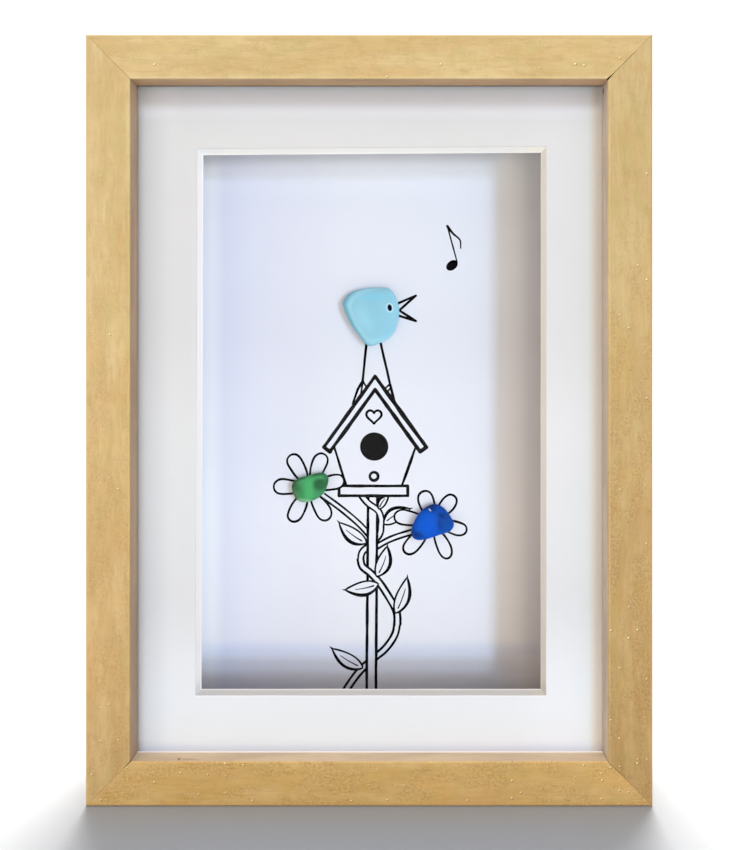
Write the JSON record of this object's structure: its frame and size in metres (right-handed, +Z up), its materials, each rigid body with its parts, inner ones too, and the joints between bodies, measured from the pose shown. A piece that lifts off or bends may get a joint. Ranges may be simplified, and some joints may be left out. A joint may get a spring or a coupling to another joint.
{
  "type": "sea glass shadow box",
  "caption": "Deep upright wooden box frame with a glazed front, a bevelled mat window and an ink-drawn card that carries frosted glass pebbles.",
  "frame": {"origin": "under the middle of the bottom rail, half way through its depth, on the surface that the frame stands on", "axes": "+Z up along the frame's height, +X to the right as seen from the front, +Y from the glazed front to the back"},
  "size_m": [0.241, 0.045, 0.328],
  "materials": {
    "rails": "clear satin varnish on pale maple or birch",
    "glazing": "clear polished sheet glass",
    "mat": "matt white board with a cream-white core",
    "spacers": "matt white",
    "picture_card": "smooth matt paper with black ink lines",
    "turquoise_sea_glass": "frosted by the sea",
    "green_sea_glass": "frosted by the sea",
    "blue_sea_glass": "frosted by the sea",
    "backing_board": "smooth brown hardboard",
    "tabs": "zinc plated",
    "hanger": "brass-plated steel"
  },
  "bodies": {
    "root": {"rail_top": "rails", "rail_bottom": "rails", "rail_left": "rails", "rail_right": "rails", "glazing": "glazing", "mat": "mat", "spacer_top": "spacers", "spacer_bottom": "spacers", "spacer_left": "spacers", "spacer_right": "spacers", "picture_card": "picture_card", "bird_glass": "turquoise_sea_glass", "green_flower_glass": "green_sea_glass", "blue_flower_glass": "blue_sea_glass", "backing_board": "backing_board", "tab_top_a": "tabs", "tab_top_b": "tabs", "tab_bottom_a": "tabs", "tab_bottom_b": "tabs", "tab_left_a": "tabs", "tab_left_b": "tabs", "tab_right_a": "tabs", "tab_right_b": "tabs", "hanger": "hanger", "hanger_pin_left": "hanger", "hanger_pin_right": "hanger"}
  },
  "joints": []
}
